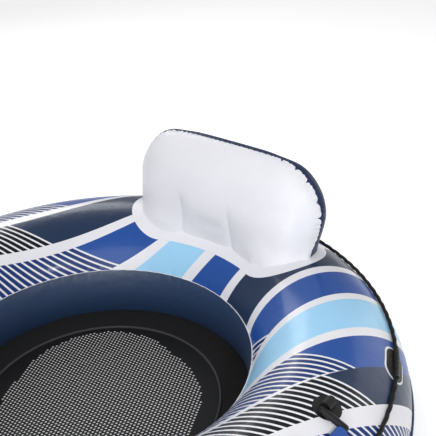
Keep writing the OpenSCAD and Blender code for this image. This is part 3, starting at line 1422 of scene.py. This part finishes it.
    def along(self, local: Vector) -> float:
        """Distance along the outline from the middle of its top, positive on the rider's left.

        Args:
            local: The point, in the leaning frame.

        Returns:
            The distance.
        """
        side, across, up = self.corner_offset(local)
        end, shoulder = self.half_width - self.corner, self.height - self.corner
        if up == 0:
            return side * (end + self.corner * math.pi / 2 + shoulder - local.z)
        if across == 0:
            return local.x
        return side * (end + self.corner * math.atan2(across, up))

    def inflate(self, piece: bpy.types.Object) -> None:
        """Blows the skin up as cloth under pressure, then keeps each point within reach of its start.

        Args:
            piece: The shaped blank, with what holds still in the group "held".
        """
        rest = [v.co.copy() for v in piece.data.vertices]
        cloth = piece.modifiers.new("Air", "CLOTH")
        film = cloth.settings
        film.vertex_group_mass = "held"
        film.use_pressure, film.uniform_pressure_force = True, self.pressure
        film.effector_weights.gravity = 0
        film.tension_stiffness = film.compression_stiffness = self.stretch
        film.bending_stiffness = self.bend
        cloth.collision_settings.use_collision = False
        cloth.point_cache.frame_start, cloth.point_cache.frame_end = 1, self.frames
        scene = bpy.context.scene
        for step in range(1, self.frames + 1):
            scene.frame_set(step)
        bake(piece)
        scene.frame_set(1)
        for vert, start in zip(piece.data.vertices, rest):
            moved = vert.co - start
            if moved.length > self.most_moved:
                vert.co = start + moved.normalized() * self.most_moved
        ease = piece.modifiers.new("Ease", "SMOOTH")
        ease.vertex_group, ease.invert_vertex_group = "held", True
        ease.iterations = self.easing
        bake(piece)

    def draw_folds(self) -> None:
        """Places the small folds of the weld along the outline, each with its depth and width."""
        draw = random.Random(self.seed)
        spot = -self.fold_end
        from_middle, to_foot = self.fold_corner
        while spot < self.fold_end:
            corner = from_middle < abs(spot) < to_foot
            depth = draw.uniform(*self.fold_depth) * (1.2 if corner else 0.8)
            self.folds.append((spot, depth, draw.uniform(*self.fold_width)))
            spot += draw.uniform(*self.fold_spacing)

    def pull(self, local: Vector) -> Vector:
        """How the weld pulls a point of the skin about, in the leaning frame.

        Args:
            local: The point, in the leaning frame.

        Returns:
            The point's displacement.
        """
        gap = self.gap(local)
        if gap > self.pull_gap or abs(local.y) > self.pull_depth:
            return Vector((0, 0, 0))
        spot = self.along(local)
        sunk = sum(
            depth * bell(spot - at, width)
            for at, depth, width in self.folds
            if abs(spot - at) < 4 * width
        )
        notch = sum(math.exp(-abs(abs(spot) - at) / self.gather_width) for at in self.gathers)
        reach = self.fold_reach * (0.5 if local.y > 0 else 1.0)
        top, ease = self.weld_foot
        end = clamp((top - local.z) / ease)
        forward = (self.weld_forward + self.weld_end * end) * bell(local.y, self.weld_reach)
        forward += self.gather_depth * notch * bell(local.y, self.gather_reach)
        out = (self.proud - sunk - 0.4 * self.gather_depth * notch) * bell(local.y, reach)
        if local.y > 0:
            share = local.y / self.bulge_reach
            foot = clamp(local.z / self.bulge_height)
            at, width, lost = self.bulge_dip
            bulge = self.rear_bulge * (1 - lost * bell(abs(spot) - at, width))
            out += bulge * share * math.exp(1 - share) * (1 - gap / self.pull_gap) * foot
        return self.outward(local) * out + Vector((0, -forward, 0))

    def crease(self, local: Vector) -> float:
        """How far the webs inside draw the skin in at a point of the leaning frame.

        Args:
            local: The point, in the leaning frame.

        Returns:
            The depth.
        """
        if abs(local.y) < self.weld_width or local.z > self.web_top:
            return 0.0
        ease = eased(min(1.0, (self.web_top - local.z) / self.web_ease))
        beside = sum(math.exp(-abs(local.x - x) / self.web_width) for x in self.webs)
        return self.web_sink * ease * beside

    def half(self, source: bpy.types.Object, side: int) -> bmesh.types.BMesh:
        """Cuts the inflated skin at the weld, keeps one side of it and gathers it.

        Args:
            source: The whole inflated skin.
            side: -1 for the front and 1 for the rear.

        Returns:
            The half, without what lies inside the ring, with its cut edge marked as the weld.
        """
        row = self.to_row()
        inverse = row.inverted()
        bm = bmesh.new()
        bm.from_mesh(source.data)
        bmesh.ops.subdivide_edges(bm, edges=bm.edges, cuts=1, use_grid_fill=True, smooth=0.6)
        fine = []
        fine_depth, fine_gap = self.fine
        for edge in bm.edges:
            local = inverse @ ((edge.verts[0].co + edge.verts[1].co) / 2)
            if abs(local.y) < fine_depth and self.gap(local) < fine_gap:
                fine.append(edge)
        bmesh.ops.subdivide_edges(bm, edges=fine, cuts=1, use_grid_fill=True)
        weld = bm.verts.layers.int.new("weld")
        cut = bmesh.ops.bisect_plane(
            bm,
            geom=everything(bm),
            plane_co=row.translation,
            plane_no=row.to_3x3() @ Vector((0, 1, 0)),
            clear_outer=side < 0,
            clear_inner=side > 0,
        )
        for item in cut["geom_cut"]:
            if isinstance(item, bmesh.types.BMVert):
                item[weld] = 1
        bm.normal_update()
        moves = []
        for vert in bm.verts:
            local = inverse @ vert.co
            moves.append(row.to_3x3() @ self.pull(local) - vert.normal * self.crease(local))
        for vert, move in zip(list(bm.verts), moves):
            vert.co += move
        deep = {v for v in bm.verts if self.depth_in_ring(v.co) > self.buried}
        buried = [f for f in bm.faces if all(v in deep for v in f.verts)]
        bmesh.ops.delete(bm, geom=buried, context="FACES")
        return bm

    def weld(self, front: bmesh.types.BMesh) -> bmesh.types.BMesh:
        """The flange of the weld, drawn out from the front's cut edge.

        Args:
            front: The front half.

        Returns:
            The flange, as an open strip.
        """
        row = self.to_row()
        inverse = row.inverted()
        bm = front.copy()
        layer = bm.verts.layers.int["weld"]
        bmesh.ops.delete(bm, geom=list(bm.faces), context="FACES_ONLY")
        spare = [v for v in bm.verts if not v[layer]]
        bmesh.ops.delete(bm, geom=spare, context="VERTS")
        out = bmesh.ops.extrude_edge_only(bm, edges=list(bm.edges))
        for item in out["geom"]:
            if isinstance(item, bmesh.types.BMVert):
                local = inverse @ item.co
                item.co += row.to_3x3() @ self.outward(local) * self.flange
        bmesh.ops.recalc_face_normals(bm, faces=bm.faces)
        return bm

    def ties(self) -> None:
        """Stands the two webs inside, between the front and the rear."""
        bm = bmesh.new()
        front, rear, low, high = self.web_box
        for x in self.webs:
            place = Matrix.Translation((x, (front + rear) / 2, (low + high) / 2))
            sizes = Matrix.Diagonal((self.web_thickness, rear - front, high - low, 1))
            bmesh.ops.create_cube(bm, size=1, matrix=self.to_row() @ place @ sizes)
        piece = to_object(bm, "backrest_webs", Palette.white, smooth=False)
        settle(piece, "root", "white_vinyl", "back_webs")

    def build(self) -> None:
        """Builds the backrest's pieces."""
        self.draw_folds()
        whole = self.blank()
        self.shape(whole)
        self.pins(whole)
        self.inflate(whole)
        front, rear = self.half(whole, -1), self.half(whole, 1)
        flange = to_object(self.weld(front), "backrest_weld", Palette.white)
        thicken(flange, self.flange_thickness)
        settle(flange, "root", "white_vinyl", "back_seam")
        pieces = (
            (front, "backrest_front_skin", Palette.white, "white_vinyl", "back_front"),
            (rear, "backrest_rear_skin", Palette.rear, "navy_vinyl", "back_rear"),
        )
        for bm, name, finish, slot, node in pieces:
            piece = settle(to_object(bm, name, finish), "root", slot, node)
        bpy.data.objects.remove(whole)
        self.ties()
        dress_node("back_base", Palette.white)


# ------------------------------------------------------------------------ seat


@dataclass
class Seat:
    """The black skirt, its piping and stitches, and the perforated sheet that the rider sits on."""

    top: float = 0.09197
    radius: float = 0.242
    thickness: float = 0.0008
    zones: tuple[tuple[float, float, float], ...] = ((-0.0435, 0.039, 0.168), (0.006, -0.005, 0.2))
    first_hole: tuple[float, float] = (-0.14627, 0.0934)
    row_step: tuple[float, float] = (0.004516, 0.007262)
    hole_step: tuple[float, float] = (0.007551, 0.000565)
    hole_radius: float = 0.00245
    lattice: int = 84
    border_points: int = 180
    skirt_inner: float = 0.234
    skirt_outer: float = 0.3056
    skirt_mesh: tuple[int, int] = (24, 360)
    skirt_taut: float = 0.25
    ripple: float = 0.0007
    piping_radius: float = 0.2389
    bead: float = 0.0024
    bead_mesh: tuple[int, int] = (20, 300)
    stitch_radius: float = 0.2452
    stitch_size: tuple[float, float, float] = (0.0014, 0.00032, 0.00026)
    stitch_rise: float = 0.0001
    stitches: int = 340

    def cell(self, bm: bmesh.types.BMesh) -> None:
        """Makes one cell of the sheet: a six-sided web round a hole.

        Args:
            bm: The mesh to make it in.
        """
        a, b = Vector(self.row_step), Vector(self.hole_step)
        around = [b, a, a - b, -b, -a, b - a]
        corners = []
        for first, second in zip(around, around[1:] + around[:1]):
            lengths = Vector((first.length_squared, second.length_squared)) / 2
            rows = Matrix((first, second))
            corners.append(rows.inverted() @ lengths)
        rim = bm.verts.layers.int.new("rim")
        outer = [bm.verts.new((c.x, c.y, 0)) for c in corners]
        inner = [bm.verts.new((*(c.normalized() * self.hole_radius), 0)) for c in corners]
        for vert in outer:
            vert[rim] = 1
        for i in range(6):
            j = (i + 1) % 6
            bm.faces.new((outer[i], outer[j], inner[j], inner[i]))

    def perforated(self) -> bmesh.types.BMesh:
        """Repeats the cell over the disc and fills out to its plain border.

        Returns:
            The flat sheet, facing up.
        """
        bm = bmesh.new()
        self.cell(bm)
        for step in (self.row_step, self.hole_step):
            back_x, back_y = (-part * self.lattice / 2 for part in step)
            bmesh.ops.translate(bm, verts=bm.verts, vec=(back_x, back_y, 0))
            spin_copies(bm, self.lattice, shift=(*step, 0))
        bmesh.ops.remove_doubles(bm, verts=bm.verts, dist=0.05 * MM)
        rim = bm.verts.layers.int["rim"]
        a, b = Vector(self.row_step), Vector(self.hole_step)
        back = Matrix((a, b)).transposed().inverted()
        first = back @ Vector(self.first_hole)
        start = a * (first.x % 1) + b * (first.y % 1)
        bmesh.ops.translate(bm, verts=bm.verts, vec=(start.x, start.y, 0))
        gone = []
        for face in bm.faces:
            share = back @ (face.calc_center_median().xy - start)
            hole = start + a * round(share.x) + b * round(share.y)
            if all(math.hypot(hole.x - x, hole.y - y) > radius for x, y, radius in self.zones):
                gone.append(face)
        bmesh.ops.delete(bm, geom=gone, context="FACES")
        edge = [e for e in bm.edges if e.is_boundary and all(v[rim] for v in e.verts)]
        ring = bmesh.ops.create_circle(
            bm, segments=self.border_points, radius=self.radius, cap_ends=False
        )
        edge += list({e for v in ring["verts"] for e in v.link_edges})
        bmesh.ops.triangle_fill(bm, edges=edge, use_beauty=True, normal=(0, 0, 1))
        bmesh.ops.recalc_face_normals(bm, faces=bm.faces)
        face_up(bm)
        bmesh.ops.translate(bm, verts=bm.verts, vec=(0, 0, self.top))
        return bm

    def build(self) -> None:
        """Builds the seat's pieces."""
        skirt_top = self.top + self.thickness
        self.sheet()
        self.skirt(skirt_top)
        self.piping(skirt_top)
        self.stitching(skirt_top)
        dress_node("skirt_band", Palette.skirt)

    def sheet(self) -> None:
        """Builds the punched sheet."""
        perforated = self.perforated()
        area = sum(f.calc_area() for f in perforated.faces)
        sheet = to_object(perforated, "mesh_sheet", Palette.mesh, smooth=False)
        thicken(sheet, self.thickness)
        settle(sheet, "root", "seat_mesh", "mesh_panel")

    def skirt(self, height: float) -> None:
        """Builds the skirt, with faint ripples outside the piping.

        Args:
            height: Height of its upper face.
        """
        width = self.skirt_outer - self.skirt_inner
        count, steps = self.skirt_mesh
        rows = [self.skirt_inner + width * i / count for i in range(count + 1)]
        bm = lathe([(reach, height) for reach in rows], steps)
        taut = self.skirt_taut
        for vert in bm.verts:
            reach, turn = vert.co.xy.length, math.atan2(vert.co.x, vert.co.y)
            share = (reach - self.skirt_inner) / width
            slack = math.sin(math.pi * clamp((share - taut) / (1 - taut)))
            wide = math.sin(26 * turn + 2 * math.sin(3 * turn))
            ripple = wide * 0.5 + math.sin(41 * turn + 1) * 0.3
            vert.co.z += self.ripple * slack * ripple
        face_up(bm)
        skirt = to_object(bm, "skirt_sheet", Palette.skirt)
        thicken(skirt, self.thickness)
        settle(skirt, "root", "skirt_fabric", "skirt")

    def piping(self, height: float) -> None:
        """Builds the piping on the seam between the skirt and the sheet.

        Args:
            height: Height of the skirt's upper face.
        """
        count, steps = self.bead_mesh
        section: Profile = []
        for i in range(count):
            angle = math.tau * i / count
            reach = self.piping_radius + self.bead * math.cos(angle)
            section.append((reach, height + self.bead * (0.5 + math.sin(angle))))
        piping = to_object(lathe(section, steps, closed=True), "mesh_piping", Palette.piping)
        settle(piping, "root", "skirt_fabric", "piping")

    def stitching(self, height: float) -> None:
        """Lays a ring of short stitches just outside the piping.

        Args:
            height: Height of the skirt's upper face.
        """
        bm = bmesh.new()
        place = Matrix.Translation((0, self.stitch_radius, height + self.stitch_rise))
        sizes = Matrix.Diagonal((*self.stitch_size, 1))
        bmesh.ops.create_icosphere(bm, subdivisions=1, radius=1, matrix=place @ sizes)
        spin_copies(bm, self.stitches - 1, math.tau * (self.stitches - 1) / self.stitches)
        settle(to_object(bm, "mesh_stitches", Palette.thread), "root", "skirt_fabric")


# ------------------------------------------------------------------------ rope


@dataclass
class GrabRope:
    """The three-strand rope round the ring, its sleeve and the patches that hold it."""

    angle: float = math.radians(40)
    radius: float = 0.004
    gap: float = 0.00415
    turns: int = 132
    steps: int = 1320
    strands: int = 3
    strand_share: float = 0.54
    strand_swing: float = 100
    strand_points: int = 6
    patches: int = 6

    def build(self) -> None:
        """Builds the rope and dresses what holds it."""
        middle = TORUS.at(math.pi / 2, self.angle, self.gap)
        strand = self.strand_share * self.radius
        section: Profile = []
        for lobe in range(self.strands):
            facing = math.tau * lobe / self.strands
            centre = Vector((math.cos(facing), math.sin(facing))) * (self.radius - strand)
            for i in range(self.strand_points):
                degrees = 2 * self.strand_swing * i / (self.strand_points - 1)
                swing = facing + math.radians(degrees - self.strand_swing)
                point = centre + Vector((math.cos(swing), math.sin(swing))) * strand
                section.append((middle.x + point.x, middle.z + point.y))
        bm = lathe(section, self.steps, closed=True)
        for vert in bm.verts:
            turn = math.atan2(vert.co.x, vert.co.y)
            outward = Vector((math.sin(turn), math.cos(turn), 0))
            offset_out, offset_up = vert.co.dot(outward) - middle.x, vert.co.z - middle.z
            twist = self.turns * turn / self.strands
            c, s = math.cos(twist), math.sin(twist)
            out = offset_out * c - offset_up * s
            high = offset_out * s + offset_up * c
            vert.co = outward * (middle.x + out) + Vector((0, 0, middle.z + high))
        settle(to_object(bm, "grab_rope", Palette.rope), "root", "rope", "rope")
        dress_node("rope_sleeve", Palette.plastic)
        for number in range(1, self.patches + 1):
            dress_node(f"rope_patch_{number}", Palette.patch)


# -------------------------------------------------------------------- fittings


class Side(Enum):
    """The rider's two sides."""

    LEFT = "left"
    RIGHT = "right"


class Fittings:
    """Cup holders, folding handles and valves, as the frame has them."""

    def build(self) -> None:
        """Dresses every fitting."""
        for side in Side:
            dress_node(f"cup_{side.value}", Palette.blue)
            dress_node(f"cup_rim_{side.value}", Palette.blue)
            dress_node(f"handle_base_{side.value}", Palette.plastic)
            dress_node(f"handle_bail_{side.value}", Palette.plastic)
            dress_node(f"handle_grip_{side.value}", Palette.grip)
        for place in ("left", "right", "back"):
            for part in ("body", "flap", "cap"):
                dress_node(f"valve_{part}_{place}", Palette.valve)


# ---------------------------------------------------------------------- studio


@dataclass(frozen=True)
class Lamp:
    """A square soft lamp: where it hangs, what it is aimed at, its side and its power in watts."""

    name: str
    place: tuple[float, float, float]
    target: tuple[float, float, float]
    size: float
    power: float


LAMPS = (
    Lamp("Front", (0.8, -2.1, 1.9), (0, 0.2, 0.2), 1.8, 28),
    Lamp("Low", (1.05, -2.0, 0.62), (-0.19, 0.24, 0.2), 0.7, 13),
    Lamp("Near", (1.33, -0.53, 1.16), (-0.27, 0.16, 0.22), 0.24, 6),
    Lamp("Rear", (-2.1, 1.4, 1.8), (0, 0.1, 0.2), 1.0, 19),
    Lamp("Back", (0.9, 2.4, 1.0), (0.2, 0.3, 0.2), 1.4, 10),
)


@dataclass
class Studio:
    """Camera, floor and soft light."""

    eye: Vector = field(default_factory=lambda: Vector((0.9713, -0.7403, 1.1542)))
    look: Vector = field(default_factory=lambda: Vector((-0.5692, 0.6627, -0.4867)))
    roll: float = math.radians(-3.4042)
    lens: float = 65.51
    sensor: float = 36.0
    clip: tuple[float, float] = (0.02, 100.0)
    floor_size: float = 60.0
    floor_drop: float = 0.0002
    floor_glow: float = 0.45
    sky_light: float = 0.48
    sky_seen: float = 0.52

    def camera(self) -> None:
        """Sets up the camera."""
        data = bpy.data.cameras.new("Camera")
        data.lens, data.sensor_width = self.lens, self.sensor
        data.clip_start, data.clip_end = self.clip
        made = bpy.data.objects.new("Camera", data)
        bpy.context.scene.collection.objects.link(made)
        forward = self.look.normalized()
        right = forward.cross(Vector((0, 0, 1))).normalized()
        up = right.cross(forward)
        c, s = math.cos(self.roll), math.sin(self.roll)
        axes = Matrix((right * c + up * s, up * c - right * s, -forward)).transposed()
        made.matrix_world = Matrix.Translation(self.eye) @ axes.to_4x4()
        bpy.context.scene.camera = made

    def seen_rays(self, w: Wiring) -> Socket:
        """Returns a mask of the rays that show the background: camera, glossy and transmission.

        Args:
            w: Wiring of a material.

        Returns:
            The mask.
        """
        path = w.add("LightPath").outputs
        return w.math(
            "MAXIMUM",
            path["Is Camera Ray"],
            w.math("MAXIMUM", path["Is Glossy Ray"], path["Is Transmission Ray"]),
        )

    def floor(self) -> None:
        """Lays a plain pale floor that keeps the shadow."""
        bm = bmesh.new()
        bmesh.ops.create_grid(bm, x_segments=1, y_segments=1, size=self.floor_size / 2)
        bmesh.ops.translate(bm, verts=bm.verts, vec=(0, 0, -self.floor_drop))
        made = to_object(bm, "Floor", Finish("Studio floor", ink(235, 235, 236), 0.9))
        material = made.data.materials[0]
        w = Wiring(material.node_tree)
        shader = material.node_tree.nodes["Principled BSDF"]
        inputs = {
            "Emission Color": WHITE,
            "Emission Strength": w.math("MULTIPLY", self.seen_rays(w), self.floor_glow),
            "Specular IOR Level": 0.1,
        }
        w.fill(shader, inputs)

    def hang(self, lamp: Lamp) -> None:
        """Hangs one lamp, aimed at its target.

        Args:
            lamp: The lamp.
        """
        data = bpy.data.lights.new(lamp.name, "AREA")
        data.shape, data.size, data.energy = "SQUARE", lamp.size, lamp.power
        made = bpy.data.objects.new(lamp.name, data)
        made.location = lamp.place
        aim = Vector(lamp.target) - Vector(lamp.place)
        made.rotation_euler = aim.to_track_quat("-Z", "Y").to_euler()
        bpy.context.scene.collection.objects.link(made)

    def build(self) -> None:
        """Builds the whole studio."""
        scene = bpy.context.scene
        scene.view_settings.view_transform = "Standard"
        self.camera()
        self.floor()
        world = bpy.data.worlds.new("Studio")
        world.use_nodes = True
        scene.world = world
        w = Wiring(world.node_tree)
        sky = world.node_tree.nodes["Background"]
        seen = w.add("LightPath").outputs["Is Camera Ray"]
        strength = w.math("MULTIPLY_ADD", seen, self.sky_seen, self.sky_light)
        w.fill(sky, {"Color": WHITE, "Strength": strength})
        for lamp in LAMPS:
            self.hang(lamp)


def main() -> None:
    """Builds the studio and every sub-assembly, in order."""
    logging.basicConfig(level=logging.INFO, format="%(name)s %(message)s")
    for part in (Studio(), Ring(), Backrest(), Seat(), GrabRope(), Fittings()):
        LOG.info("building %s", type(part).__name__)
        part.build()


if __name__ == "__main__":
    main()
